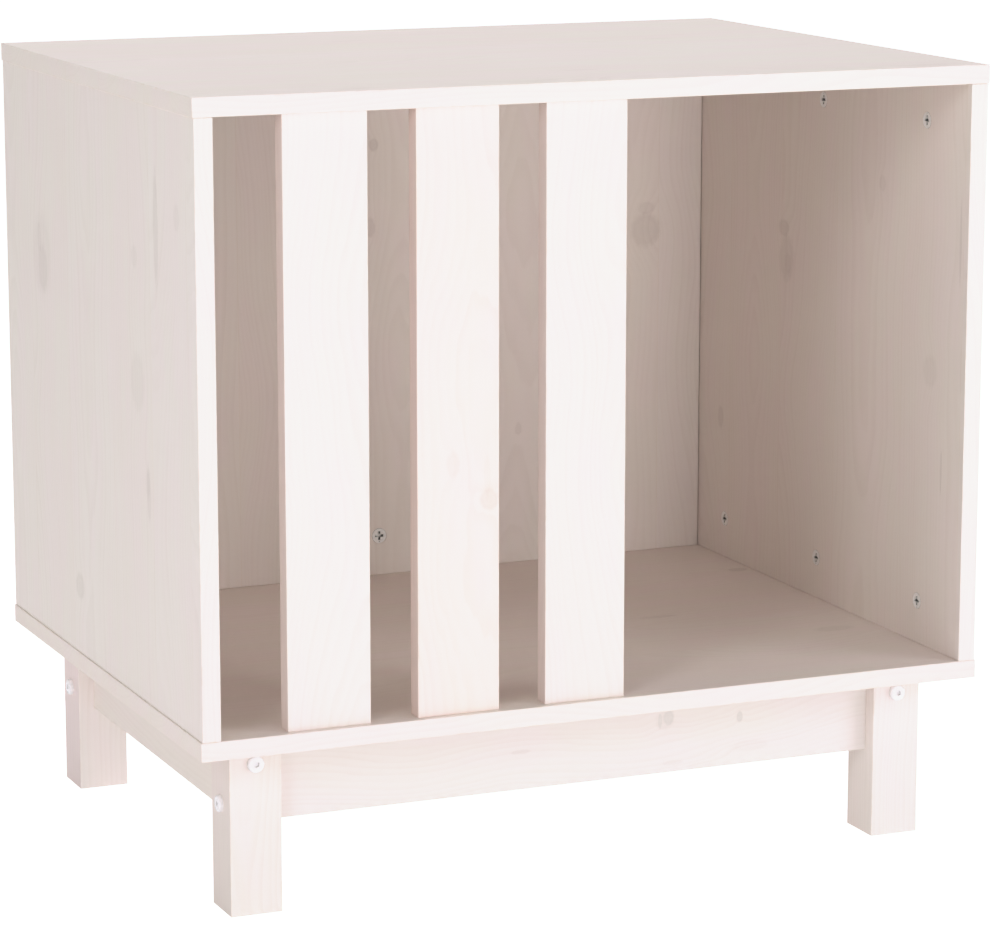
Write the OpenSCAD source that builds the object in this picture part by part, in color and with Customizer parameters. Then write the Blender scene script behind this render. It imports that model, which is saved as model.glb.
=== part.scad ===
// Open-fronted dog house: a pine cabinet of boards on a four-legged base frame.
// Three upright slats close the left half of the front, the right half is the doorway.
// X runs along the width, the front faces -Y, Z is up, and the origin lies on the
// floor in the middle of the footprint.

/* [Cabinet] */
// Width of the top and bottom panels
cabinet_w = 600; // [480:10:800]
// Depth of the cabinet, front to back
cabinet_d = 450; // [360:10:620]
// Height of the side panels, which is the clear height inside
side_h = 423.5; // [300:0.5:620]
// Thickness of the top, bottom, side and back panels
board_t = 13.5; // [13:0.5:18]
// How far each side panel stands in from the ends of the top and bottom panels
side_inset = 1; // [0:0.5:4]
// How far the back panel stands in from the back edges of the top and bottom panels
back_inset = 1.5; // [0:0.5:4]
// Gap between the back panel and each side panel
back_side_gap = 0.5; // [0.2:0.1:0.8]
// Radius of the eased edges of every board
edge_r = 0.6; // [0.4:0.1:1.2]

/* [Front slats] */
// Width of a slat
slat_w = 61; // [44:1:72]
// Thickness of a slat
slat_t = 13.5; // [12:0.5:18]
// Gap between two slats
slat_gap = 35; // [20:1:42]
// Gap between the left side panel and the first slat
first_gap = 49.5; // [30:0.5:60]
// How far the slats stand back from the front edge of the cabinet
slat_setback = 4.5; // [0:0.5:15]

/* [Base frame] */
// Height of the legs
leg_h = 122; // [96:1:200]
// Side of the square leg
leg_w = 38; // [36:1:50]
// How far the legs stand in from the edges of the bottom panel
leg_setback = 30; // [10:1:50]
// Height of the four rails
rail_h = 58; // [54:1:80]
// Thickness of the four rails
rail_t = 14; // [14:0.5:20]

/* [Frame bolts] */
// Diameter of the bolt
bolt_d = 6; // [5:0.5:6]
// Diameter of the bolt head
bolt_head_d = 12; // [10:0.5:14]
// Height of the bolt head
bolt_head_h = 3; // [2.5:0.25:4]
// Width across the flats of the bolt's hex socket
hex_w = 4; // [3:0.5:5]
// Depth of the hex socket
hex_depth = 2; // [1:0.25:2]
// Distance from a rail's upper or lower edge to its bolt
bolt_edge = 13.5; // [12:0.5:16]
// Diameter of the barrel nut
nut_d = 10; // [9:0.5:12]
// Distance from the end of a rail to its barrel nut
nut_from_end = 25; // [24:1:30]
// How far the bolt runs past its barrel nut
bolt_past_nut = 2; // [1:0.5:4]
// Wood left between the barrel nut's hole and the rail's outer face
nut_skin = 2; // [1.5:0.5:3]

/* [Cam fittings] */
// Diameter of the cam
cam_d = 12; // [11:0.5:15]
// Distance from the end of a panel to the middle of its cams
cam_from_end = 32; // [26:1:40]
// Distance from the front and back edges of a side panel to its outer cams
cam_from_edge = 64; // [40:1:90]
// Distance from the ends of the back panel's width to its outer cams
back_cam_from_edge = 96; // [60:1:120]
// Wood left behind a cam
cam_skin = 3.5; // [3:0.25:4]
// Width of the arms of the cross recess
cross_w = 2; // [1:0.1:2.4]
// Length of the arms of the cross recess, tip to tip
cross_len = 7; // [5:0.5:8]
// Depth of the cross recess
cross_depth = 2.5; // [1:0.25:3]
// Width of the tapered hollow in the middle of the cross, at the cam's face
cross_middle_d = 3.2; // [2.6:0.1:4]
// Diameter of the cam dowel's shaft and screwed end
cam_dowel_d = 5; // [4.5:0.25:5.5]
// Diameter of the neck behind the cam dowel's head
cam_neck_d = 3; // [2.5:0.25:3.5]
// Length of the neck behind the cam dowel's head
cam_neck_len = 4; // [3:0.5:5]
// Length of the cam dowel's head
cam_head_len = 2.5; // [2:0.25:3]

/* [Wood dowels] */
// Diameter of the dowels in the panels, slats and rails
dowel_d = 6; // [5:0.5:8]
// Length of a dowel
dowel_len = 30; // [26:1:35]
// Depth of a dowel's hole in a leg
leg_dowel_depth = 14; // [10:1:14]
// Chamfer at the ends of a dowel
dowel_chamfer = 1; // [0.5:0.25:1.5]
// Wood left behind a blind hole in the face of a panel
blind_skin = 4.5; // [4:0.5:5.5]

/* [Angle brackets] */
// Length of both arms of a bracket
bracket_arm = 30; // [26:1:40]
// Width of a bracket
bracket_w = 16; // [14:1:24]
// Thickness of a bracket
bracket_t = 2; // [1.5:0.25:3]
// Distance from the end of an arm to its screw
screw_from_end = 10; // [9:0.5:11]
// Length of a bracket screw under its head
screw_len = 12; // [10:0.5:12]
// Diameter of a bracket screw
screw_d = 3.5; // [3:0.25:4]
// Diameter of a screw head
screw_head_d = 7; // [6:0.5:8]
// Height of a screw head
screw_head_h = 2; // [1.5:0.25:2.5]

/* [Fits] */
// Gap all round between a pin and its hole
pin_gap = 0.2; // [0.15:0.05:0.3]
// Gap at the end of a pin in a blind hole
end_gap = 0.5; // [0.3:0.1:0.8]

/* [Hidden] */
$fn = 48;

whitewash = [0.95, 0.93, 0.91];
pine = [0.86, 0.74, 0.56];
zinc = [0.75, 0.75, 0.76];
white_enamel = [0.98, 0.98, 0.98];
sides = [-1, 1];

// Levels of the panels
floor_z = leg_h + board_t;
ceiling_z = floor_z + side_h;
top_z = ceiling_z + board_t;

// Planes of the cabinet
half_w = cabinet_w / 2;
half_d = cabinet_d / 2;
side_outer_x = half_w - side_inset;
side_inner_x = side_outer_x - board_t;
side_mid_x = side_outer_x - board_t / 2;
back_outer_y = half_d - back_inset;
back_inner_y = back_outer_y - board_t;
back_mid_y = back_outer_y - board_t / 2;
back_w = 2 * (side_inner_x - back_side_gap);

// Slats, numbered from the left
slat_pitch = slat_w + slat_gap;
slat_front_y = slat_setback - half_d;
slat_mid_y = slat_front_y + slat_t / 2;
function slat_x(i) = first_gap - side_inner_x + i * slat_pitch;

// Legs and rails
leg_mid_x = half_w - leg_setback - leg_w / 2;
leg_mid_y = half_d - leg_setback - leg_w / 2;
rail_len_x = 2 * leg_mid_x - leg_w;
rail_len_y = 2 * leg_mid_y - leg_w;
rail_z = leg_h - rail_h;
high_bolt_z = leg_h - bolt_edge;
low_bolt_z = rail_z + bolt_edge;
bolt_reach = nut_from_end + nut_d / 2 + bolt_past_nut;
bolt_len = leg_w + bolt_reach;
nut_len = rail_t - 2 * nut_skin;

// Holes
face_hole_depth = board_t - blind_skin;
cam_t = board_t - cam_skin;
cam_pocket = cam_t + pin_gap;
cam_ys = [for (i = [-1, 0, 1]) i * (half_d - cam_from_edge)];
side_dowel_ys = [for (i = sides) i * (half_d - cam_from_edge) / 2];
back_cam_xs = [for (i = [-1, 0, 1]) i * (side_inner_x - back_cam_from_edge)];
back_dowel_xs = [for (i = sides) i * (side_inner_x - back_cam_from_edge) / 2];
back_dowel_zs = [for (i = [1, 2, 3]) floor_z + i * side_h / 4];
slat_dowel_step = slat_w / 4;
slat_dowel_xs = [for (i = [0, 1, 2], s = sides) slat_x(i) + slat_w / 2 + s * slat_dowel_step];

// Brackets
bracket_x = rail_len_x / 4;
rail_inner_x = leg_mid_x - rail_t / 2;
rail_inner_y = leg_mid_y - rail_t / 2;
bracket_end_r = bracket_w / 2;

// Rectangle with eased corners
module eased_rect(w, h) {
    translate([edge_r, 0]) square([w - 2 * edge_r, h]);
    translate([0, edge_r]) square([w, h - 2 * edge_r]);
    for (x = [edge_r, w - edge_r], y = [edge_r, h - edge_r])
        translate([x, y]) circle(edge_r);
}

// Board with square ends whose four eased edges run along X
module board_along_x(len_x, size_y, size_z) {
    rotate([90, 0, 90]) linear_extrude(len_x) eased_rect(size_y, size_z);
}

// Board with square ends whose four eased edges run along Y
module board_along_y(size_x, len_y, size_z) {
    translate([0, len_y, 0]) rotate([90, 0, 0]) linear_extrude(len_y) eased_rect(size_x, size_z);
}

// Board with square ends whose four eased edges run along Z
module board_along_z(size_x, size_y, len_z) {
    linear_extrude(len_z) eased_rect(size_x, size_y);
}

// Board eased along all twelve edges
module eased_board(size_x, size_y, size_z) {
    intersection() {
        board_along_x(size_x, size_y, size_z);
        board_along_y(size_x, size_y, size_z);
        board_along_z(size_x, size_y, size_z);
    }
}

// Turns a shape that points along +Z so that it points along X, Y or Z
module point_x(s) {
    rotate([0, s * 90, 0]) children();
}
module point_y(s) {
    rotate([-s * 90, 0, 0]) children();
}
module point_z(s) {
    rotate([s > 0 ? 0 : 180, 0, 0]) children();
}

// Blind hole for a pin, from the surface down along +Z
module hole(d, depth) {
    translate([0, 0, -edge_r]) cylinder(d = d + 2 * pin_gap, h = depth + edge_r);
}

// Wood dowel with both ends chamfered, standing on the origin
module dowel(len) {
    inner_len = len - 2 * dowel_chamfer;
    tip_d = dowel_d - 2 * dowel_chamfer;
    cylinder(d1 = tip_d, d2 = dowel_d, h = dowel_chamfer);
    translate([0, 0, dowel_chamfer]) cylinder(d = dowel_d, h = inner_len);
    translate([0, 0, dowel_chamfer + inner_len]) cylinder(d1 = dowel_d, d2 = tip_d, h = dowel_chamfer);
}

// Dowel joint: z = 0 is the face of the board, +Z goes into the end of the other
edge_hole_depth = dowel_len - face_hole_depth + 2 * end_gap;
module joint_dowel() {
    translate([0, 0, end_gap - face_hole_depth]) dowel(dowel_len);
}
module edge_dowel_hole() {
    hole(dowel_d, edge_hole_depth);
}
module face_dowel_hole() {
    point_z(-1) hole(dowel_d, face_hole_depth);
}

// Cam dowel: screwed into the face of a board at z = 0, its head lies in the cam
cam_head_top = cam_from_end + cam_head_len / 2;
cam_neck_top = cam_from_end - cam_head_len / 2;
cam_shaft_top = cam_neck_top - cam_neck_len;
module cam_dowel() {
    shaft_r = cam_dowel_d / 2;
    neck_r = cam_neck_d / 2;
    chamfer = shaft_r - neck_r;
    rotate_extrude() polygon([
        [0, end_gap - face_hole_depth],
        [neck_r, end_gap - face_hole_depth],
        [shaft_r, end_gap - face_hole_depth + chamfer],
        [shaft_r, cam_shaft_top - chamfer],
        [neck_r, cam_shaft_top],
        [neck_r, cam_neck_top],
        [shaft_r, cam_neck_top],
        [shaft_r, cam_head_top - chamfer],
        [neck_r, cam_head_top],
        [0, cam_head_top]
    ]);
}
module cam_dowel_face_hole() {
    point_z(-1) hole(cam_dowel_d, face_hole_depth);
}

// Bore along the end of a panel that lets the cam dowel reach its cam
module cam_dowel_bore() {
    hole(cam_dowel_d, cam_head_top + end_gap);
}

// Cam: its flat front lies at z = 0 and its body below, its mouth faces +X
module cam() {
    difference() {
        translate([0, 0, -cam_t]) cylinder(d = cam_d, h = cam_t);
        for (a = [0, 90]) rotate(a)
            translate([-cross_len / 2, -cross_w / 2, -cross_depth]) cube([cross_len, cross_w, cross_depth + edge_r]);
        cross_middle();
        translate([-cam_dowel_d / 2, 0, -board_t / 2]) point_x(1) cylinder(d = cam_dowel_d + 2 * pin_gap, h = cam_d);
        cam_arrow();
    }
}

// Tapered hollow where the arms of the cross meet, as wide as an arm at its bottom
module cross_middle() {
    slope = (cross_middle_d - cross_w) / cross_depth;
    translate([0, 0, -cross_depth])
        cylinder(d1 = cross_w, d2 = cross_middle_d + slope * edge_r, h = cross_depth + edge_r);
}

// Notch at the rim that shows which way the mouth points
module cam_arrow() {
    arrow_len = (cam_d - cross_len) / 4;
    translate([cam_d / 2 - arrow_len, 0, -edge_r])
        linear_extrude(2 * edge_r) polygon([[0, -arrow_len / 2], [0, arrow_len / 2], [arrow_len / 2, 0]]);
}
module cam_pocket_hole() {
    translate([0, 0, -cam_pocket]) cylinder(d = cam_d + 2 * pin_gap, h = cam_pocket + edge_r);
}

// Frame bolt: the head lies below z = 0, the shank runs along +Z
head_round = bolt_head_h / 2;
module frame_bolt() {
    head_r = bolt_head_d / 2;
    tip = bolt_d / 6;
    difference() {
        union() {
            rotate_extrude() {
                translate([0, -bolt_head_h]) square([head_r - head_round, bolt_head_h]);
                translate([0, -head_round]) square([head_r, head_round]);
                intersection() {
                    translate([head_r - head_round, -head_round]) circle(head_round);
                    translate([head_r - head_round, -bolt_head_h]) square([head_round, head_round]);
                }
            }
            cylinder(d = bolt_d, h = bolt_len - tip);
            translate([0, 0, bolt_len - tip]) cylinder(d1 = bolt_d, d2 = bolt_d - 2 * tip, h = tip);
        }
        translate([0, 0, -bolt_head_h - edge_r])
            cylinder(d = hex_w / cos(30), h = hex_depth + edge_r, $fn = 6);
    }
}

// Barrel nut: stands on the origin, crossed by the bolt half way up
module barrel_nut() {
    slot_w = nut_d / 8;
    difference() {
        cylinder(d = nut_d, h = nut_len);
        translate([-nut_d, 0, nut_len / 2]) point_x(1) cylinder(d = bolt_d + 2 * pin_gap, h = 2 * nut_d);
        translate([-nut_d, -slot_w / 2, nut_len - slot_w]) cube([2 * nut_d, slot_w, 2 * slot_w]);
    }
}

// What the end of a rail needs, cut from a rail that starts at x = 0 and runs along +X
// The inner face is at +Y, the middle of the thickness at y = 0
module rail_end_holes(bolt_z, dowel_z) {
    translate([0, 0, bolt_z]) point_x(1) hole(bolt_d, bolt_reach + end_gap);
    translate([0, 0, dowel_z]) point_x(1) hole(dowel_d, dowel_len - leg_dowel_depth + 2 * end_gap);
    translate([nut_from_end, -nut_len / 2, bolt_z]) point_y(1)
        cylinder(d = nut_d + 2 * pin_gap, h = nut_len / 2 + rail_t);
}

// Places children at both ends of the front and back rails
module at_long_rail_ends() {
    for (sx = sides, sy = sides)
        translate([sx * rail_len_x / 2, sy * leg_mid_y, 0])
            mirror([sx > 0 ? 1 : 0, 0, 0]) mirror([0, sy > 0 ? 1 : 0, 0]) children();
}

// Places children at both ends of the side rails
module at_short_rail_ends() {
    for (sx = sides, sy = sides)
        translate([sx * leg_mid_x, sy * rail_len_y / 2, 0])
            mirror([sx > 0 ? 1 : 0, 0, 0]) mirror([0, sy > 0 ? 1 : 0, 0])
                mirror([1, -1, 0]) children();
}

// Bracket: the corner at the origin, one arm down the rail at y = 0, one out along +Y
module bracket_arm_plate() {
    hole_d = screw_d + 2 * pin_gap;
    reach = bracket_arm - bracket_end_r;
    difference() {
        union() {
            translate([-bracket_w / 2, 0, 0]) cube([bracket_w, reach, bracket_t]);
            translate([0, reach, 0]) cylinder(d = bracket_w, h = bracket_t);
        }
        translate([0, bracket_arm - screw_from_end, -edge_r]) cylinder(d = hole_d, h = bracket_t + 2 * edge_r);
    }
}
module bracket() {
    point_z(-1) mirror([0, 1, 0]) bracket_arm_plate();
    rotate([-90, 0, 0]) bracket_arm_plate();
}

// Screw: the head rests on z = 0, the shank runs along -Z
module bracket_screw() {
    tip = screw_len / 4;
    socket = screw_head_h / 2;
    slot_w = screw_head_d / 8;
    slot_len = screw_head_d * 0.6;
    difference() {
        cylinder(d1 = screw_head_d, d2 = screw_head_d - screw_head_h, h = screw_head_h);
        for (a = [0, 90]) rotate(a)
            translate([-slot_len / 2, -slot_w / 2, screw_head_h - socket]) cube([slot_len, slot_w, screw_head_h]);
    }
    translate([0, 0, tip - screw_len]) cylinder(d = screw_d, h = screw_len - tip);
    translate([0, 0, -screw_len]) cylinder(d1 = screw_d / 4, d2 = screw_d, h = tip);
}

// Places children at the six brackets, with +Y pointing to the middle of the cabinet
module at_brackets() {
    for (s = sides, sx = sides)
        translate([sx * bracket_x, -s * rail_inner_y, leg_h]) mirror([0, s > 0 ? 0 : 1, 0]) children();
    for (s = sides)
        translate([s * rail_inner_x, 0, leg_h]) rotate(s * 90) children();
}
module at_bracket_screws() {
    at_brackets() {
        translate([0, bracket_arm - screw_from_end, -bracket_t]) point_z(-1) children();
        translate([0, bracket_t, screw_from_end - bracket_arm]) point_y(1) children();
    }
}
module bracket_screw_hole() {
    hole_len = screw_len + end_gap;
    translate([0, 0, -hole_len]) cylinder(d = screw_d + 2 * pin_gap, h = hole_len);
}

// Fittings of one side panel, placed along its lower or upper end
module at_side_cam_dowels(s) {
    for (y = cam_ys) translate([s * side_mid_x, y, 0]) children();
}
module at_side_dowels(s) {
    for (y = side_dowel_ys) translate([s * side_mid_x, y, 0]) children();
}
module at_back_cam_dowels() {
    for (x = back_cam_xs) translate([x, back_mid_y, 0]) children();
}
module at_back_dowels() {
    for (x = back_dowel_xs) translate([x, back_mid_y, 0]) children();
}
module at_slat_dowels() {
    for (x = slat_dowel_xs) translate([x, slat_mid_y, 0]) children();
}

// Everything that enters the face of the bottom panel, pointing up; the top has the same
module at_panel_cam_dowels() {
    for (s = sides) at_side_cam_dowels(s) children();
    at_back_cam_dowels() children();
}
module at_panel_dowels() {
    for (s = sides) at_side_dowels(s) children();
    at_back_dowels() children();
    at_slat_dowels() children();
}

// Places children at the level of the floor, and turned over at the ceiling
module at_both_levels() {
    translate([0, 0, floor_z]) children();
    translate([0, 0, ceiling_z]) mirror([0, 0, 1]) children();
}
module at_floor() {
    translate([0, 0, floor_z]) children();
}
module at_ceiling() {
    translate([0, 0, ceiling_z]) mirror([0, 0, 1]) children();
}

module face_holes() {
    at_panel_cam_dowels() cam_dowel_face_hole();
    at_panel_dowels() face_dowel_hole();
}

module top_panel() {
    color(whitewash) difference() {
        translate([-half_w, -half_d, ceiling_z]) eased_board(cabinet_w, cabinet_d, board_t);
        at_ceiling() face_holes();
    }
}

module bottom_panel() {
    color(whitewash) difference() {
        translate([-half_w, -half_d, leg_h]) eased_board(cabinet_w, cabinet_d, board_t);
        at_floor() face_holes();
        at_bracket_screws() bracket_screw_hole();
    }
}

// Side panel on the side s, with the same holes at its lower and upper ends
module side_panel(s) {
    color(whitewash) difference() {
        translate([s > 0 ? side_inner_x : -side_outer_x, -half_d, floor_z])
            eased_board(board_t, cabinet_d, side_h);
        at_both_levels() at_side_cam_dowels(s) cam_dowel_bore();
        at_both_levels() at_side_dowels(s) edge_dowel_hole();
        at_side_cams(s) cam_pocket_hole();
        for (z = back_dowel_zs)
            translate([s * side_inner_x, back_mid_y, z]) point_x(s) hole(dowel_d, face_hole_depth);
    }
}

// Cams of the side panel on the side s: their fronts face the inside
module at_side_cams(s) {
    at_both_levels() for (y = cam_ys)
        translate([s * side_inner_x, y, cam_from_end]) point_x(-s) rotate(s > 0 ? 180 : 0) children();
}

module back_panel() {
    color(whitewash) difference() {
        translate([-back_w / 2, back_inner_y, floor_z]) eased_board(back_w, board_t, side_h);
        at_both_levels() at_back_cam_dowels() cam_dowel_bore();
        at_both_levels() at_back_dowels() edge_dowel_hole();
        at_back_cams() cam_pocket_hole();
        for (s = sides, z = back_dowel_zs)
            translate([s * side_inner_x, back_mid_y, z]) point_x(-s) edge_dowel_hole();
    }
}

// Cams of the back panel: their fronts face the inside
module at_back_cams() {
    at_both_levels() for (x = back_cam_xs)
        translate([x, back_inner_y, cam_from_end]) point_y(-1) rotate(-90) children();
}

module slat(i) {
    color(whitewash) difference() {
        translate([slat_x(i), slat_front_y, floor_z]) eased_board(slat_w, slat_t, side_h);
        at_both_levels() at_slat_dowels() edge_dowel_hole();
    }
}

// Leg at the corner (sx, sy)
module leg(sx, sy) {
    bore_d = bolt_d + 2 * pin_gap;
    color(whitewash) difference() {
        translate([sx * leg_mid_x - leg_w / 2, sy * leg_mid_y - leg_w / 2, 0])
            eased_board(leg_w, leg_w, leg_h);
        translate([sx * leg_mid_x, sy * leg_mid_y, 0]) {
            translate([-leg_w, 0, low_bolt_z]) point_x(1) cylinder(d = bore_d, h = 2 * leg_w);
            translate([0, -leg_w, high_bolt_z]) point_y(1) cylinder(d = bore_d, h = 2 * leg_w);
            translate([-sx * leg_w / 2, 0, high_bolt_z]) point_x(sx) hole(dowel_d, leg_dowel_depth);
            translate([0, -sy * leg_w / 2, low_bolt_z]) point_y(sy) hole(dowel_d, leg_dowel_depth);
        }
    }
}

// Front or back rail
module long_rail(sy) {
    color(whitewash) difference() {
        translate([-rail_len_x / 2, sy * leg_mid_y - rail_t / 2, rail_z])
            board_along_x(rail_len_x, rail_t, rail_h);
        at_long_rail_ends() rail_end_holes(low_bolt_z, high_bolt_z);
        at_bracket_screws() bracket_screw_hole();
    }
}

// Left or right rail
module short_rail(sx) {
    color(whitewash) difference() {
        translate([sx * leg_mid_x - rail_t / 2, -rail_len_y / 2, rail_z])
            board_along_y(rail_t, rail_len_y, rail_h);
        at_short_rail_ends() rail_end_holes(high_bolt_z, low_bolt_z);
        at_bracket_screws() bracket_screw_hole();
    }
}

module side_cams(s) {
    color(zinc) at_side_cams(s) cam();
}

module back_cams() {
    color(zinc) at_back_cams() cam();
}

module frame_bolts() {
    color(white_enamel) {
        at_long_rail_ends() translate([-leg_w, 0, low_bolt_z]) point_x(1) frame_bolt();
        at_short_rail_ends() translate([-leg_w, 0, high_bolt_z]) point_x(1) frame_bolt();
    }
}

module barrel_nuts() {
    color(zinc) {
        at_long_rail_ends() translate([nut_from_end, -nut_len / 2, low_bolt_z]) point_y(1) barrel_nut();
        at_short_rail_ends() translate([nut_from_end, -nut_len / 2, high_bolt_z]) point_y(1) barrel_nut();
    }
}

module rail_dowels() {
    color(pine) {
        at_long_rail_ends() translate([end_gap - leg_dowel_depth, 0, high_bolt_z]) point_x(1) dowel(dowel_len);
        at_short_rail_ends() translate([end_gap - leg_dowel_depth, 0, low_bolt_z]) point_x(1) dowel(dowel_len);
    }
}

module side_joint_dowels() {
    color(pine) for (s = sides) at_side_dowels(s) joint_dowel();
}

module back_joint_dowels() {
    color(pine) at_back_dowels() joint_dowel();
}

module back_side_dowels() {
    color(pine) for (s = sides, z = back_dowel_zs)
        translate([s * side_inner_x, back_mid_y, z]) point_x(-s) joint_dowel();
}

module slat_joint_dowels() {
    color(pine) at_slat_dowels() joint_dowel();
}

module panel_cam_dowels() {
    color(zinc) at_panel_cam_dowels() cam_dowel();
}

module angle_brackets() {
    color(zinc) at_brackets() bracket();
}

module bracket_screws() {
    color(zinc) at_bracket_screws() bracket_screw();
}

top_panel();
bottom_panel();
side_panel(-1);  // left_side_panel
side_panel(1);  // right_side_panel
back_panel();
slat(0);  // slat_left
slat(1);  // slat_middle
slat(2);  // slat_right
leg(-1, -1);  // leg_front_left
leg(1, -1);  // leg_front_right
leg(-1, 1);  // leg_back_left
leg(1, 1);  // leg_back_right
long_rail(-1);  // rail_front
long_rail(1);  // rail_back
short_rail(-1);  // rail_left
short_rail(1);  // rail_right
side_cams(-1);  // cams_left_side
side_cams(1);  // cams_right_side
back_cams();  // cams_back_panel
at_ceiling() panel_cam_dowels();  // cam_dowels_top
at_floor() panel_cam_dowels();  // cam_dowels_bottom
at_ceiling() side_joint_dowels();  // side_dowels_top
at_floor() side_joint_dowels();  // side_dowels_bottom
at_ceiling() back_joint_dowels();  // back_dowels_top
at_floor() back_joint_dowels();  // back_dowels_bottom
back_side_dowels();  // back_dowels_sides
at_ceiling() slat_joint_dowels();  // slat_dowels_top
at_floor() slat_joint_dowels();  // slat_dowels_bottom
frame_bolts();
barrel_nuts();
rail_dowels();
angle_brackets();
bracket_screws();
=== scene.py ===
import math

import bpy
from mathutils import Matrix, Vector


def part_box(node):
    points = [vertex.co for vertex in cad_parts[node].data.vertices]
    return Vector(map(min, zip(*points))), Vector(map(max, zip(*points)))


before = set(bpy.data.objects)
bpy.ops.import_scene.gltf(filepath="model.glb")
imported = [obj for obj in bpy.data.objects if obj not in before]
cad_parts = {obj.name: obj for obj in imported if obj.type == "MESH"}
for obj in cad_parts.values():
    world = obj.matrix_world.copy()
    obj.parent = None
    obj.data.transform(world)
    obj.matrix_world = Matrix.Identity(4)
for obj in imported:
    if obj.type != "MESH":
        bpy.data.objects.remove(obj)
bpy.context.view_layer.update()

MM_PER_M = 1000.0

# Camera: it stands to the left of the front and looks slightly down, with a long lens
CAMERA_PLACE = (-1.1126, -2.6377, 0.8283)
CAMERA_YAW = 23.087
CAMERA_PITCH = 11.247
CAMERA_LENS = 141.196
CAMERA_SENSOR = 36.0

# Board axes in the frame: along the grain, across the board's width, through its thickness
BOARD_AXES = {
    "top_panel": "XYZ",
    "bottom_panel": "XYZ",
    "left_side_panel": "ZYX",
    "right_side_panel": "ZYX",
    "back_panel": "ZXY",
    "slat_left": "ZXY",
    "slat_middle": "ZXY",
    "slat_right": "ZXY",
    "leg_front_left": "ZXY",
    "leg_front_right": "ZXY",
    "leg_back_left": "ZXY",
    "leg_back_right": "ZXY",
    "rail_front": "XZY",
    "rail_back": "XZY",
    "rail_left": "YZX",
    "rail_right": "YZX",
}

# Width in mm of the staves that a panel is glued up from. A board sawn in one piece gets a
# stave wider than itself.
PANEL_STAVE = 92.0
SINGLE_STAVE_FACTOR = 1.9


class Signal:
    """A shader value that takes part in ordinary arithmetic."""

    def __init__(self, graph, socket):
        self.graph, self.socket = graph, socket

    def math(self, operation, *others):
        return self.graph.math(operation, self, *others)

    def __add__(self, other):
        return self.math("ADD", other)

    def __sub__(self, other):
        return self.math("SUBTRACT", other)

    def __mul__(self, other):
        return self.math("MULTIPLY", other)

    def __truediv__(self, other):
        return self.math("DIVIDE", other)

    def __rsub__(self, other):
        return self.graph.math("SUBTRACT", other, self)

    def squared(self):
        return self.math("MULTIPLY", self)

    def rise(self, low, high):
        """Smooth step from 0 at low to 1 at high."""
        node = self.graph.add("ShaderNodeMapRange", interpolation_type="SMOOTHSTEP")
        self.graph.feed(node.inputs["Value"], self)
        self.graph.feed(node.inputs["From Min"], low)
        self.graph.feed(node.inputs["From Max"], high)
        return Signal(self.graph, node.outputs["Result"])

    def fall(self, low, high):
        """Smooth step from 1 at low to 0 at high."""
        return 1.0 - self.rise(low, high)


class Graph:
    """Short ways to add shader nodes to a tree and join them."""

    def __init__(self, tree):
        self.tree = tree

    def add(self, kind, **settings):
        node = self.tree.nodes.new(kind)
        for name, value in settings.items():
            setattr(node, name, value)
        return node

    def feed(self, socket, value):
        if isinstance(value, Signal):
            self.tree.links.new(value.socket, socket)
        else:
            socket.default_value = value

    def out(self, node, name):
        return Signal(self, node.outputs[name])

    def math(self, operation, *values):
        node = self.add("ShaderNodeMath", operation=operation)
        for socket, value in zip(node.inputs, values):
            self.feed(socket, value)
        return Signal(self, node.outputs[0])

    def vector(self, x, y, z):
        node = self.add("ShaderNodeCombineXYZ")
        for socket, value in zip(node.inputs, (x, y, z)):
            self.feed(socket, value)
        return Signal(self, node.outputs[0])

    def split(self, vector):
        node = self.add("ShaderNodeSeparateXYZ")
        self.feed(node.inputs[0], vector)
        return [Signal(self, s) for s in node.outputs]

    def noise(self, vector, scale=1.0, detail=2.0, roughness=0.5):
        node = self.add("ShaderNodeTexNoise", noise_dimensions="3D")
        self.feed(node.inputs["Vector"], vector)
        self.feed(node.inputs["Scale"], scale)
        self.feed(node.inputs["Detail"], detail)
        self.feed(node.inputs["Roughness"], roughness)
        return Signal(self, node.outputs["Fac"])

    def mix_color(self, factor, a, b):
        node = self.add("ShaderNodeMix", data_type="RGBA")
        for name, value in (("Factor_Float", factor), ("A_Color", a), ("B_Color", b)):
            socket = next(s for s in node.inputs if s.identifier == name)
            self.feed(socket, value)
        result = next(s for s in node.outputs if s.identifier == "Result_Color")
        return Signal(self, result)

    def grain_noise(self, point, length, width, **settings):
        """Noise drawn out along the grain, with clouds of this length and width in mm."""
        along, across, through = point
        return self.noise(self.vector(along / length, across / width, through / width), **settings)

    def bump(self, shader, height, distance, strength=1.0):
        """Gives the shader small relief: height 1 stands for the distance, in m."""
        node = self.add("ShaderNodeBump")
        self.feed(node.inputs["Height"], height)
        node.inputs["Distance"].default_value = distance
        node.inputs["Strength"].default_value = strength
        self.tree.links.new(node.outputs[0], shader.inputs["Normal"])

    def tint(self, color, shares):
        """The color with its red, green and blue each scaled."""
        node = self.add("ShaderNodeVectorMath", operation="MULTIPLY")
        self.feed(node.inputs[0], color)
        self.feed(node.inputs[1], shares)
        return Signal(self, node.outputs[0])


def rgb(red, green, blue):
    return (red, green, blue, 1.0)


def new_material(name):
    """An empty node material, with its graph and its Principled shader."""
    material = bpy.data.materials.new(name)
    material.use_nodes = True
    material.node_tree.nodes.clear()
    graph = Graph(material.node_tree)
    output = graph.add("ShaderNodeOutputMaterial")
    shader = graph.add("ShaderNodeBsdfPrincipled")
    graph.tree.links.new(shader.outputs[0], output.inputs["Surface"])
    return material, graph, shader


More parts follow.
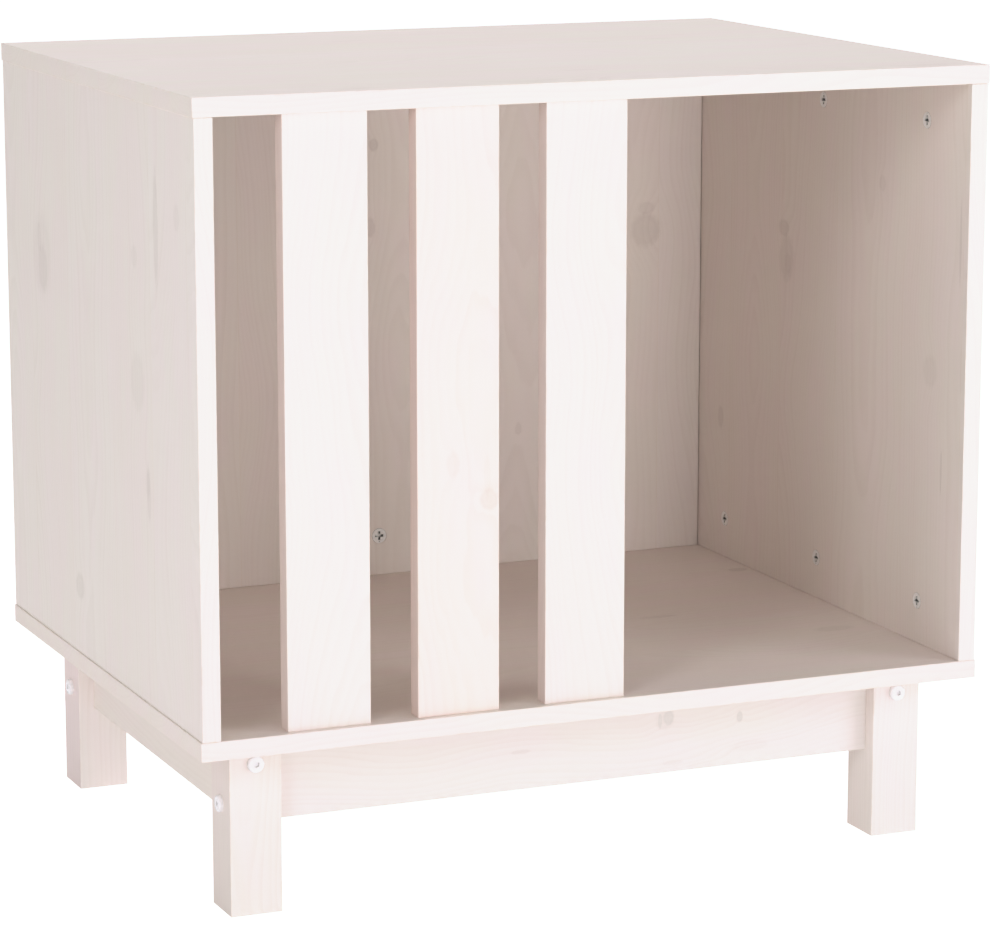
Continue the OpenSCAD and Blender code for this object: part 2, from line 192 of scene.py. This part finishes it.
def frame_point_mm(graph):
    """The shaded point in the frame, in millimetres."""
    place = graph.add("ShaderNodeTexCoord")
    scaled = graph.add("ShaderNodeVectorMath", operation="SCALE")
    graph.tree.links.new(place.outputs["Object"], scaled.inputs[0])
    scaled.inputs["Scale"].default_value = MM_PER_M
    return Signal(graph, scaled.outputs[0])


# Pine under a thin white stain. Lengths are in mm.
RAW_EARLY_WOOD = rgb(0.76, 0.56, 0.37)
RAW_LATE_WOOD = rgb(0.58, 0.37, 0.21)
KNOT_UNDER_STAIN = rgb(0.52, 0.42, 0.39)
KNOT_TONES = {"rail_front": rgb(0.48, 0.45, 0.44), "back_panel": rgb(0.53, 0.415, 0.395)}
ROSE_STAIN = rgb(0.907, 0.804, 0.781)
CREAM_STAIN = rgb(0.899, 0.819, 0.775)
# Painted shade for the side faces of slats and legs: darker and rosier than the stain
SIDE_SHADE_TONE = rgb(0.828, 0.675, 0.655)
STAIN_COVER = 0.90
GRAIN_RELIEF = 0.6

# Growth rings, and the pith line that they run round
RING_SPACING = 3.3
RING_UNEVENNESS = 2.4
PITH_DEPTH_NEAR = 20.0
PITH_DEPTH_RANGE = 60.0
PITH_SHIFT = 110.0
WANDER_LENGTH = 300.0
WANDER_DEPTH = 70.0
SWAY_LENGTH = 260.0
SWAY_WIDTH = 50.0
SWIRL_WIDTH = 7.0
RIPPLE_WIDTH = 1.0
STAVE_SPREAD = 0.3
SEAM_LINE = (0.1, 0.5)
RING_SPREAD_LENGTH = 16.0
RING_DARKENING = (0.20, 0.85)
RING_END = (0.88, 1.0)
RING_STRENGTH_LEAST = 0.3
RING_STRENGTH_RANGE = 0.7
END_GRAIN_FADE = 0.5

# How far apart in the noise two staves are drawn from
WANDER_DRAW = 40.0
SWAY_DRAW = (70.0, 40.0)
RING_SPREAD_DRAW = 30.0

# Length along the grain and width across it of each kind of unevenness
SWIRL_SIZE = (150.0, 26.0)
RIPPLE_SIZE = (40.0, 7.0)
FIBRE_SIZE = (55.0, 0.9)
BRUSH_SIZE = (110.0, 4.0)
CLOUD_SIZE = (130.0, 50.0)
FLECK_SIZE = (7.0, 0.8)
BLUSH_SIZE = (95.0, 34.0)
BLUSH_SHIFT = 7.0

# What the pine group is told of each point: its place in the board, the board's own numbers,
# and how much it is a knot, end grain, a worn edge or a side face that gets painted shade
PINE_INPUTS = (
    "Along", "Across", "Through", "Bend", "Knot", "Stave", "Seed", "Cover", "End", "Edge", "SideShade",
)

# How much each kind of unevenness changes the stain's cover, and how much each thins it
BRUSH_COVER = 0.06
CLOUD_COVER = 0.08
FIBRE_COVER = 0.05
STAVE_COVER = 0.035
LATE_WOOD_THINS = 0.03
KNOT_THINS = 0.04
FLECK_THINS = 0.03
END_GRAIN_THINS = 0.05
WORN_EDGE_THINS = 0.12
SEAM_THINS = 0.10

# Roughness of the stain, and relief in mm
STAIN_ROUGHNESS = 0.60
FIBRE_ROUGHNESS = 0.16
LATE_WOOD_GLOSS = 0.06
KNOT_GLOSS = 0.08
LATE_WOOD_RELIEF = 0.035
FIBRE_RELIEF = 0.05
SEAM_RELIEF = 0.06
FLECK_RELIEF = 0.02
KNOT_RELIEF = 0.03

# How strongly the side faces of narrow boards get painted shade: a darker, rosier tone than the stain, in
# brush streaks
SIDE_SHADE_BRUSH = 0.8
SIDE_SHADE_LEAST = 0.6
SIDE_SHADE_SHARES = {"slat": 0.75, "leg_front_left": 0.35, "leg_back_left": 1.0}

# Shares of red, green and blue for single boards: partly boards that took the stain a little differently,
# and partly painted light and shade. The back panel is lightened as painted light inside the cabin, and the
# front and left rails are darkened as painted shade under the bottom panel's overhang.
PLAIN_TINT = (1.0, 1.0, 1.0)
BOARD_TINTS_AND_PAINTED_LIGHT = {
    "back_panel": (1.055, 1.055, 1.065),
    "bottom_panel": (1.01, 0.998, 1.0),
    "slat_middle": (1.03, 0.99, 0.98),
    "rail_front": (0.932, 0.96, 0.97),
    "rail_left": (0.96, 0.955, 0.95),
    "leg_front_left": (0.97, 0.98, 0.985),
    "leg_front_right": (0.97, 0.985, 1.005),
    "leg_back_left": (1.03, 1.055, 1.09),
}


def stave_place(g, value):
    """Where the point lies in its stave, the stave's three random numbers, and how far its seam is."""
    place = value["Across"] / value["Stave"] + value["Seed"]
    cell = g.add("ShaderNodeTexVoronoi", voronoi_dimensions="1D", feature="F1")
    seam = g.add("ShaderNodeTexVoronoi", voronoi_dimensions="1D", feature="DISTANCE_TO_EDGE")
    for node in (cell, seam):
        g.feed(node.inputs["W"], place)
        g.feed(node.inputs["Scale"], 1.0)
        g.feed(node.inputs["Randomness"], STAVE_SPREAD)
    local = (place - g.out(cell, "W")) * value["Stave"]
    seam_distance = g.out(seam, "Distance") * value["Stave"]
    return local, g.split(g.out(cell, "Color")), seam_distance


def ring_radius(g, value, point, local, luck):
    """Distance in mm from a pith line that wanders slowly along the board."""
    along, across, through = point
    shift, depth, tone = luck
    wander_place = g.vector(along / WANDER_LENGTH, shift * WANDER_DRAW, depth * WANDER_DRAW)
    wander = g.noise(wander_place, detail=1.0) - 0.5
    sway_place = g.vector(along / SWAY_LENGTH, depth * SWAY_DRAW[0], tone * SWAY_DRAW[1])
    sway = g.noise(sway_place, detail=1.0) - 0.5
    side = tone.math("GREATER_THAN", 0.5) * 2.0 - 1.0
    pith_across = (shift - 0.5) * PITH_SHIFT + sway * SWAY_WIDTH
    pith_through = side * (depth * PITH_DEPTH_RANGE + PITH_DEPTH_NEAR) + wander * WANDER_DEPTH
    radius = ((local - pith_across).squared() + (through - pith_through).squared()).math("SQRT")
    swirl = g.grain_noise(point, *SWIRL_SIZE, detail=2.0) - 0.5
    ripple = g.grain_noise(point, *RIPPLE_SIZE, detail=2.0) - 0.5
    return radius + swirl * SWIRL_WIDTH + ripple * RIPPLE_WIDTH + value["Bend"]


def late_wood(g, value, radius, luck):
    """How dark the growth ring is here: slow rise, quick fall, and each ring with its own strength."""
    shift, depth, tone = luck
    spread_place = g.vector(radius / RING_SPREAD_LENGTH, shift * RING_SPREAD_DRAW, depth * RING_SPREAD_DRAW)
    spread = g.noise(spread_place, detail=1.0) - 0.5
    ring = radius / RING_SPACING + spread * RING_UNEVENNESS
    phase = ring.math("FRACT")
    ring_seed = g.add("ShaderNodeTexWhiteNoise", noise_dimensions="1D")
    g.feed(ring_seed.inputs["W"], ring.math("FLOOR"))
    strength = g.out(ring_seed, "Value") * RING_STRENGTH_RANGE + RING_STRENGTH_LEAST
    dark = phase.rise(*RING_DARKENING) * phase.fall(*RING_END)
    return dark * strength * (1.0 - value["End"] * END_GRAIN_FADE)


def stained_surface(g, value, point, late, tone, seam_distance):
    """Colour, roughness and height of the wood under its brushed stain, with painted shade on the side
    faces.
    """
    fibre = g.grain_noise(point, *FIBRE_SIZE, detail=3.0, roughness=0.6)
    brush = g.grain_noise(point, *BRUSH_SIZE, detail=2.0)
    cloud = g.grain_noise(point, *CLOUD_SIZE, detail=2.0)
    fleck = g.grain_noise(point, *FLECK_SIZE, detail=1.0).rise(0.66, 0.78)
    length, width = BLUSH_SIZE
    along, across, through = point
    blush = g.noise(g.vector(along / length + BLUSH_SHIFT, across / width, through / width), detail=2.0)

    wood = g.mix_color(late, RAW_EARLY_WOOD, RAW_LATE_WOOD)
    cover = value["Cover"] + (brush - 0.5) * BRUSH_COVER + (cloud - 0.5) * CLOUD_COVER
    cover = cover + (fibre - 0.5) * FIBRE_COVER + (tone - 0.5) * STAVE_COVER
    thin = late * LATE_WOOD_THINS + value["Knot"] * KNOT_THINS + fleck * FLECK_THINS
    thin = thin + value["End"] * END_GRAIN_THINS + value["Edge"] * WORN_EDGE_THINS
    seam_line = seam_distance.fall(*SEAM_LINE)
    cover = (cover - thin - seam_line * SEAM_THINS).math("MAXIMUM", 0.0).math("MINIMUM", 1.0)
    stain = g.mix_color(blush.rise(0.35, 0.65), ROSE_STAIN, CREAM_STAIN)
    # Painted shade: side faces are pulled towards a darker, rosy tone, in brush streaks
    stain = g.mix_color(value["SideShade"] * (brush * SIDE_SHADE_BRUSH + SIDE_SHADE_LEAST), stain, SIDE_SHADE_TONE)
    color = g.mix_color(cover, wood, stain)
    roughness = STAIN_ROUGHNESS - late * LATE_WOOD_GLOSS
    roughness = roughness + (fibre - 0.5) * FIBRE_ROUGHNESS - value["Knot"] * KNOT_GLOSS
    height = late * LATE_WOOD_RELIEF + (fibre - 0.5) * FIBRE_RELIEF - seam_line * SEAM_RELIEF
    height = height - fleck * FLECK_RELIEF - value["Knot"] * KNOT_RELIEF
    return color, roughness, height


def pine_group():
    """A node group: board coordinates in, stained pine out."""
    tree = bpy.data.node_groups.new("stained_pine", "ShaderNodeTree")
    for name in PINE_INPUTS:
        tree.interface.new_socket(name, in_out="INPUT", socket_type="NodeSocketFloat")
    tree.interface.new_socket("Color", in_out="OUTPUT", socket_type="NodeSocketColor")
    tree.interface.new_socket("Roughness", in_out="OUTPUT", socket_type="NodeSocketFloat")
    tree.interface.new_socket("Height", in_out="OUTPUT", socket_type="NodeSocketFloat")
    g = Graph(tree)
    group_in = g.add("NodeGroupInput")
    group_out = g.add("NodeGroupOutput")
    value = {name: g.out(group_in, name) for name in PINE_INPUTS}
    point = (value["Along"], value["Across"], value["Through"])
    local, luck, seam_distance = stave_place(g, value)
    radius = ring_radius(g, value, point, local, luck)
    late = late_wood(g, value, radius, luck)
    surface = stained_surface(g, value, point, late, luck[2], seam_distance)
    for name, result in zip(("Color", "Roughness", "Height"), surface):
        g.feed(group_out.inputs[name], result)
    return tree


# Knots and marks that the boards show, in frame mm: where along the grain, where across,
# half length, half width, how dark, and how far they push the rings aside
KNOTS = {
    "left_side_panel": (
        (423.0, 131.0, 30.0, 22.0, 0.22, 7.0),
        (413.0, 129.0, 17.0, 11.0, 0.36, 0.0),
        (363.0, -96.0, 20.0, 15.0, 0.24, 6.0),
        (186.6, 50.7, 10.0, 10.0, 0.45, 4.0),
        (476.0, -141.5, 40.0, 5.0, 0.50, 0.0),
        (288.5, -117.3, 20.0, 4.0, 0.40, 0.0),
        (488.3, -186.5, 9.0, 6.0, 0.25, 3.0),
        (435.0, 136.9, 12.0, 5.0, 0.25, 0.0),
        (450.7, -92.8, 8.0, 6.0, 0.25, 3.0),
        (294.1, -115.1, 9.0, 5.0, 0.25, 3.0),
    ),
    "back_panel": (
        (403.0, 235.0, 13.5, 13.0, 0.50, 9.0),
        (421.0, 235.5, 5.0, 7.0, 0.35, 0.0),
        (483.2, -3.0, 5.0, 4.0, 0.60, 3.0),
        (417.7, -6.4, 8.0, 4.0, 0.50, 3.0),
        (246.1, 122.0, 5.0, 3.0, 0.40, 2.0),
    ),
    "right_side_panel": (
        (420.5, 62.5, 6.5, 9.0, 0.55, 3.0),
        (397.0, 57.4, 18.0, 12.0, 0.42, 5.0),
        (393.0, 55.0, 8.0, 5.0, 0.25, 0.0),
        (251.0, 170.3, 9.0, 5.0, 0.50, 2.0),
        (343.2, -173.7, 12.0, 10.0, 0.27, 6.0),
        (473.3, -96.1, 6.0, 5.0, 0.30, 3.0),
        (443.0, -214.2, 30.0, 1.6, 0.55, 0.0),
        (271.5, -192.9, 16.0, 1.2, 0.60, 0.0),
    ),
    "bottom_panel": (
        (274.1, 112.9, 8.0, 5.5, 0.65, 4.0),
        (250.0, -98.0, 16.0, 7.0, 0.34, 3.0),
        (143.6, -11.1, 15.0, 3.0, 0.48, 0.0),
    ),
    "top_panel": (
        (-52.1, 135.4, 14.0, 2.0, 0.30, 0.0),
        (174.3, 63.2, 12.0, 2.0, 0.30, 0.0),
        (14.1, -148.0, 14.0, 2.0, 0.30, 0.0),
    ),
    "slat_middle": (
        (286.0, -86.5, 7.5, 7.0, 0.48, 3.0),
        (303.0, -88.0, 14.0, 2.5, 0.20, 0.0),
        (312.6, -113.3, 9.0, 5.0, 0.28, 3.0),
    ),
    "rail_front": (
        (67.5, 104.0, 7.5, 7.5, 0.25, 4.0),
        (63.6, 103.2, 1.6, 5.5, 0.45, 0.0),
        (70.4, 104.8, 4.2, 5.6, 0.50, 0.0),
        (127.9, 99.6, 2.5, 4.0, 0.72, 2.0),
        (136.2, 77.3, 15.0, 4.0, 0.22, 4.0),
        (74.0, 71.0, 8.0, 1.8, 0.30, 0.0),
        (-46.7, 91.8, 8.0, 1.5, 0.40, 0.0),
    ),
}


KNOT_STRENGTH = 0.55
KNOT_RAG_SIZE = (5.0, 3.0)
KNOT_RAGGEDNESS = 0.5
KNOT_BODY_DARK = 0.7
KNOT_RIM_DARK = 0.45
KNOT_BODY = (0.25, 1.2)
KNOT_RIM_RISE = (0.45, 0.8)
KNOT_RIM_FALL = (0.8, 1.25)
KNOT_PUSH_REACH = 3.2


def add_knots(g, marks, along, across):
    """How far a board's knots push its rings, in mm, and how dark they are."""
    bend, dark = 0.0, 0.0
    rag_place = g.vector(along / KNOT_RAG_SIZE[0], across / KNOT_RAG_SIZE[1], 0.0)
    ragged = (g.noise(rag_place, detail=2.0) - 0.5) * KNOT_RAGGEDNESS
    for where_along, where_across, half_length, half_width, darkness, push in marks:
        lengthwise = (along - where_along) / half_length
        crosswise = (across - where_across) / half_width
        reach = (lengthwise.squared() + crosswise.squared()).math("SQRT")
        edge = reach + ragged
        body = edge.fall(*KNOT_BODY)
        rim = edge.rise(*KNOT_RIM_RISE) * edge.fall(*KNOT_RIM_FALL)
        dark = (body * KNOT_BODY_DARK + rim * KNOT_RIM_DARK) * darkness + dark
        if push:
            bend = reach.fall(0.0, KNOT_PUSH_REACH) * push + bend
    return bend, dark


# Size of the clouds in the wear, and how far from an edge in mm the wear is full and ends
WEAR_SIZE = 9.0
WORN_EDGE = (0.2, 1.6)


def board_edge_distance(offsets, halves):
    """Distance in mm from the point to the nearest edge line of the board's box."""
    near, middle, far = [half - offset.math("ABSOLUTE") for offset, half in zip(offsets, halves)]
    low = near.math("MINIMUM", middle)
    high = near.math("MAXIMUM", middle)
    return low.math("MAXIMUM", high.math("MINIMUM", far))


def facing(normal, axis):
    """1 on the faces that look along this axis, 0 on the others."""
    return normal[axis].math("ABSOLUTE").rise(0.6, 0.9)


def side_shade_share(node):
    return next((share for start, share in SIDE_SHADE_SHARES.items() if node.startswith(start)), 0.0)


def pine_board_material(node, axes, seed, group):
    """The stained pine of one board, with its own grain and knots, its tint, which is painted light and
    shade on some boards, and painted shade on the side faces of narrow boards.
    """
    low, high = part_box(node)
    centre = (low + high) / 2 * MM_PER_M
    half = (high - low) / 2 * MM_PER_M
    order = ["XYZ".index(letter) for letter in axes]
    material, g, shader = new_material("pine_" + node)
    point = g.split(frame_point_mm(g))
    offsets = [point[i] - centre[i] for i in order]
    halves = [half[i] for i in order]
    bend, dark = add_knots(g, KNOTS.get(node, ()), point[order[0]], point[order[1]])
    normal = g.split(g.out(g.add("ShaderNodeNewGeometry"), "Normal"))
    worn = g.noise(g.vector(*[place / WEAR_SIZE for place in point]), detail=3.0).rise(0.45, 0.7)
    given = {
        "Along": offsets[0],
        "Across": offsets[1],
        "Through": offsets[2],
        "Bend": bend,
        "Knot": dark,
        "Stave": PANEL_STAVE if node.endswith("panel") else halves[1] * 2 * SINGLE_STAVE_FACTOR,
        "Seed": float(seed),
        "Cover": STAIN_COVER,
        "End": facing(normal, order[0]),
        "Edge": board_edge_distance(offsets, halves).fall(*WORN_EDGE) * worn,
        # Painted shade on the faces that look across the board's width
        "SideShade": facing(normal, order[1]) * side_shade_share(node),
    }
    pine = g.add("ShaderNodeGroup", node_tree=group)
    for name in PINE_INPUTS:
        g.feed(pine.inputs[name], given[name])
    # The board's tint, which is painted light and shade on some boards
    tinted_wood = g.tint(g.out(pine, "Color"), BOARD_TINTS_AND_PAINTED_LIGHT.get(node, PLAIN_TINT))
    knot_tone = KNOT_TONES.get(node, KNOT_UNDER_STAIN)
    g.feed(shader.inputs["Base Color"], g.mix_color(dark * KNOT_STRENGTH, tinted_wood, knot_tone))
    g.feed(shader.inputs["Roughness"], g.out(pine, "Roughness"))
    g.bump(shader, g.out(pine, "Height"), 1.0 / MM_PER_M, GRAIN_RELIEF)
    return material


DOWEL_STREAK = rgb(0.62, 0.42, 0.25)
DOWEL_STREAK_SIZE = (40.0, 1.6)


def raw_pine_material(name, grain_axis):
    """Bare turned pine with fine rings, for the dowels inside the joints."""
    material, g, shader = new_material(name)
    point = g.split(frame_point_mm(g))
    length, width = DOWEL_STREAK_SIZE
    stretched = [place / (length if axis == grain_axis else width) for axis, place in enumerate(point)]
    streak = g.noise(g.vector(*stretched), detail=3.0, roughness=0.6)
    g.feed(shader.inputs["Base Color"], g.mix_color(streak.rise(0.3, 0.7), RAW_EARLY_WOOD, DOWEL_STREAK))
    g.feed(shader.inputs["Roughness"], streak * 0.2 + 0.6)
    return material


# Share of open sky at which the painted recess shade is darkest, and at which it ends. Lengths are in m.
RECESS_SHADE = (0.24, 0.48)
RECESS_REACH = 0.003
RECESS_TONE = 0.08
ZINC_GRIT_DEPTH = 0.00003
ZINC_GRIT_ROUGHNESS = 0.2

# The cams are cast and passivated pale, the rest is bright zinc on steel
CAM_LIGHT = (0.97, 0.93, 0.91)
CAM_DARK = (0.90, 0.86, 0.84)
STEEL_LIGHT = (0.68, 0.69, 0.71)
STEEL_DARK = (0.56, 0.57, 0.60)


def zinc_material(name, light, dark, roughness, metallic):
    """Zinc-plated metal: small clouds in the plating, and painted shade that darkens the recesses and gaps.
    """
    material, g, shader = new_material(name)
    point = frame_point_mm(g)
    cloud = g.noise(point, scale=0.5, detail=3.0)
    grit = g.noise(point, scale=4.0, detail=2.0)
    shelter = g.add("ShaderNodeAmbientOcclusion", samples=8)
    shelter.inputs["Distance"].default_value = RECESS_REACH
    open_sky = g.out(shelter, "AO").rise(*RECESS_SHADE)
    plated = g.mix_color(cloud.rise(0.3, 0.7), rgb(*dark), rgb(*light))
    # Painted shade: ambient occlusion darkens the colour in recesses and gaps, such as the cams' cross and
    # rim
    painted_recess_shade = g.mix_color(open_sky, rgb(*[part * RECESS_TONE for part in dark]), plated)
    g.feed(shader.inputs["Base Color"], painted_recess_shade)
    shader.inputs["Metallic"].default_value = metallic
    g.feed(shader.inputs["Roughness"], grit * ZINC_GRIT_ROUGHNESS + roughness)
    g.bump(shader, grit, ZINC_GRIT_DEPTH)
    return material


ENAMEL_LIGHT = rgb(0.94, 0.913, 0.918)
ENAMEL_DARK = rgb(0.92, 0.893, 0.898)
ENAMEL_ROUGHNESS = 0.22
ENAMEL_PEEL_DEPTH = 0.00006


def white_enamel_material():
    """White enamel on the bolt heads, with the faint peel of a sprayed coat."""
    material, g, shader = new_material("white_enamel")
    point = frame_point_mm(g)
    cloud = g.noise(point, scale=0.4, detail=2.0)
    peel = g.noise(point, scale=1.6, detail=1.0)
    g.feed(shader.inputs["Base Color"], g.mix_color(cloud, ENAMEL_LIGHT, ENAMEL_DARK))
    g.feed(shader.inputs["Roughness"], cloud * 0.1 + ENAMEL_ROUGHNESS)
    g.bump(shader, peel, ENAMEL_PEEL_DEPTH)
    return material


HARDWARE = {
    "cams": ("cams_left_side", "cams_right_side", "cams_back_panel"),
    "zinc": ("cam_dowels_top", "cam_dowels_bottom", "barrel_nuts", "angle_brackets", "bracket_screws"),
    "upright_dowels": (
        "side_dowels_top", "side_dowels_bottom", "back_dowels_top", "back_dowels_bottom",
        "slat_dowels_top", "slat_dowels_bottom",
    ),
    "level_dowels": ("back_dowels_sides", "rail_dowels"),
    "bolts": ("frame_bolts",),
}


def dress(node, material):
    """Gives a CAD node one material."""
    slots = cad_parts[node].data.materials
    slots.clear()
    slots.append(material)


def dress_the_boards():
    group = pine_group()
    for seed, (node, axes) in enumerate(BOARD_AXES.items(), start=3):
        dress(node, pine_board_material(node, axes, seed, group))


def dress_the_hardware():
    materials = {
        "cams": zinc_material("cam_zinc", CAM_LIGHT, CAM_DARK, roughness=0.40, metallic=0.15),
        "zinc": zinc_material("zinc_steel", STEEL_LIGHT, STEEL_DARK, roughness=0.30, metallic=1.0),
        "upright_dowels": raw_pine_material("raw_pine_upright", 2),
        "level_dowels": raw_pine_material("raw_pine_level", 0),
        "bolts": white_enamel_material(),
    }
    for kind, nodes in HARDWARE.items():
        for node in nodes:
            dress(node, materials[kind])


FLOOR_SIZE = 60.0
FLOOR_ALBEDO = 0.85
FLOOR_ROUGHNESS = 0.9
FLOOR_GLOW = 0.345
FLOOR_BACKDROP_GLOW = 0.95


def add_floor():
    """A wide pale floor that glows, as a lit studio sweep does, and looks as white as the backdrop."""
    mesh = bpy.data.meshes.new("floor")
    half = FLOOR_SIZE / 2
    corners = [(-half, -half, 0), (half, -half, 0), (half, half, 0), (-half, half, 0)]
    mesh.from_pydata(corners, [], [(0, 1, 2, 3)])
    floor = bpy.data.objects.new("floor", mesh)
    bpy.context.scene.collection.objects.link(floor)
    material, g, shader = new_material("pale_floor")
    shader.inputs["Base Color"].default_value = rgb(FLOOR_ALBEDO, FLOOR_ALBEDO, FLOOR_ALBEDO)
    shader.inputs["Roughness"].default_value = FLOOR_ROUGHNESS
    shader.inputs["Emission Color"].default_value = rgb(*LIGHT_TINT)
    seen = g.out(g.add("ShaderNodeLightPath"), "Is Camera Ray")
    g.feed(shader.inputs["Emission Strength"], seen * FLOOR_BACKDROP_GLOW + FLOOR_GLOW)
    mesh.materials.append(material)


# Soft lights: name, place, size in m, and power in W. All of them look at the cabinet.
LIGHT_TARGET = (0.0, 0.0, 0.32)
LIGHTS = (
    ("light_front", (0.45, -5.0, 0.45), 1.25, 44.0),
    ("light_front_high", (0.3, -4.6, 1.6), 1.8, 5.0),
    ("light_side_high", (-2.6, -2.3, 2.0), 1.4, 21.5),
    ("light_side_near", (-2.0, -1.6, 0.9), 0.9, 4.4),
    ("light_left", (-3.4, -0.2, 1.8), 2.4, 12.6),
    ("light_right", (2.8, -2.6, 1.4), 2.4, 52.5),
    ("light_top_back", (0.2, 0.9, 3.4), 2.4, 57.0),
)
LIGHT_TINT = (1.0, 1.02, 1.035)
SKY_LOW_GLOW = 0.12
SKY_HIGH_GLOW = 0.325
SKY_RISE = (0.45, 0.80)
BACKDROP_GLOW = 1.6


def add_lights():
    for name, place, size, power in LIGHTS:
        data = bpy.data.lights.new(name, "AREA")
        data.shape = "DISK"
        data.size = size
        data.energy = power
        data.color = LIGHT_TINT
        lamp = bpy.data.objects.new(name, data)
        lamp.location = place
        lamp.rotation_euler = (Vector(LIGHT_TARGET) - Vector(place)).to_track_quat("-Z", "Y").to_euler()
        lamp.visible_camera = False
        bpy.context.scene.collection.objects.link(lamp)


def set_world():
    """A bright ceiling over dim walls, in front of a white backdrop."""
    world = bpy.data.worlds.new("studio")
    bpy.context.scene.world = world
    world.use_nodes = True
    g = Graph(world.node_tree)
    world.node_tree.nodes.clear()
    output = g.add("ShaderNodeOutputWorld")
    background = g.add("ShaderNodeBackground")
    seen = g.out(g.add("ShaderNodeLightPath"), "Is Camera Ray")
    height = g.split(g.out(g.add("ShaderNodeTexCoord"), "Generated"))[2]
    glow = height.rise(*SKY_RISE) * (SKY_HIGH_GLOW - SKY_LOW_GLOW) + SKY_LOW_GLOW
    background.inputs["Color"].default_value = rgb(*LIGHT_TINT)
    g.feed(background.inputs["Strength"], seen * (BACKDROP_GLOW - glow) + glow)
    g.tree.links.new(background.outputs[0], output.inputs["Surface"])


def set_camera():
    data = bpy.data.cameras.new("camera")
    data.lens = CAMERA_LENS
    data.sensor_width = CAMERA_SENSOR
    camera = bpy.data.objects.new("camera", data)
    camera.location = CAMERA_PLACE
    camera.rotation_euler = (math.radians(90 - CAMERA_PITCH), 0, -math.radians(CAMERA_YAW))
    bpy.context.scene.collection.objects.link(camera)
    bpy.context.scene.camera = camera


# Film response: how bright the picture shows a given brightness, with a soft shoulder near white
FILM_CURVE = (
    (0.0, 0.0), (0.40, 0.40), (0.77, 0.768), (0.87, 0.86), (0.95, 0.905), (1.04, 0.94), (1.25, 1.0),
)

# The red and blue layers of the film reach white a little sooner than the green one
RED_CURVE = ((0.0, 0.0), (0.75, 0.75), (0.92, 0.943), (1.0, 1.0))
BLUE_CURVE = ((0.0, 0.0), (0.64, 0.64), (0.80, 0.82), (0.87, 0.90), (1.0, 1.0))


def shape_curve(curve, places):
    curve.points[0].location = places[0]
    curve.points[1].location = places[-1]
    for place in places[1:-1]:
        curve.points.new(*place)


def set_film():
    view = bpy.context.scene.view_settings
    view.view_transform = "Standard"
    view.look = "None"
    view.use_curve_mapping = True
    mapping = view.curve_mapping
    mapping.use_clip = False
    shape_curve(mapping.curves[0], RED_CURVE)
    shape_curve(mapping.curves[2], BLUE_CURVE)
    shape_curve(mapping.curves[3], FILM_CURVE)
    mapping.update()


set_camera()
set_film()
set_world()
add_lights()
add_floor()
dress_the_boards()
dress_the_hardware()
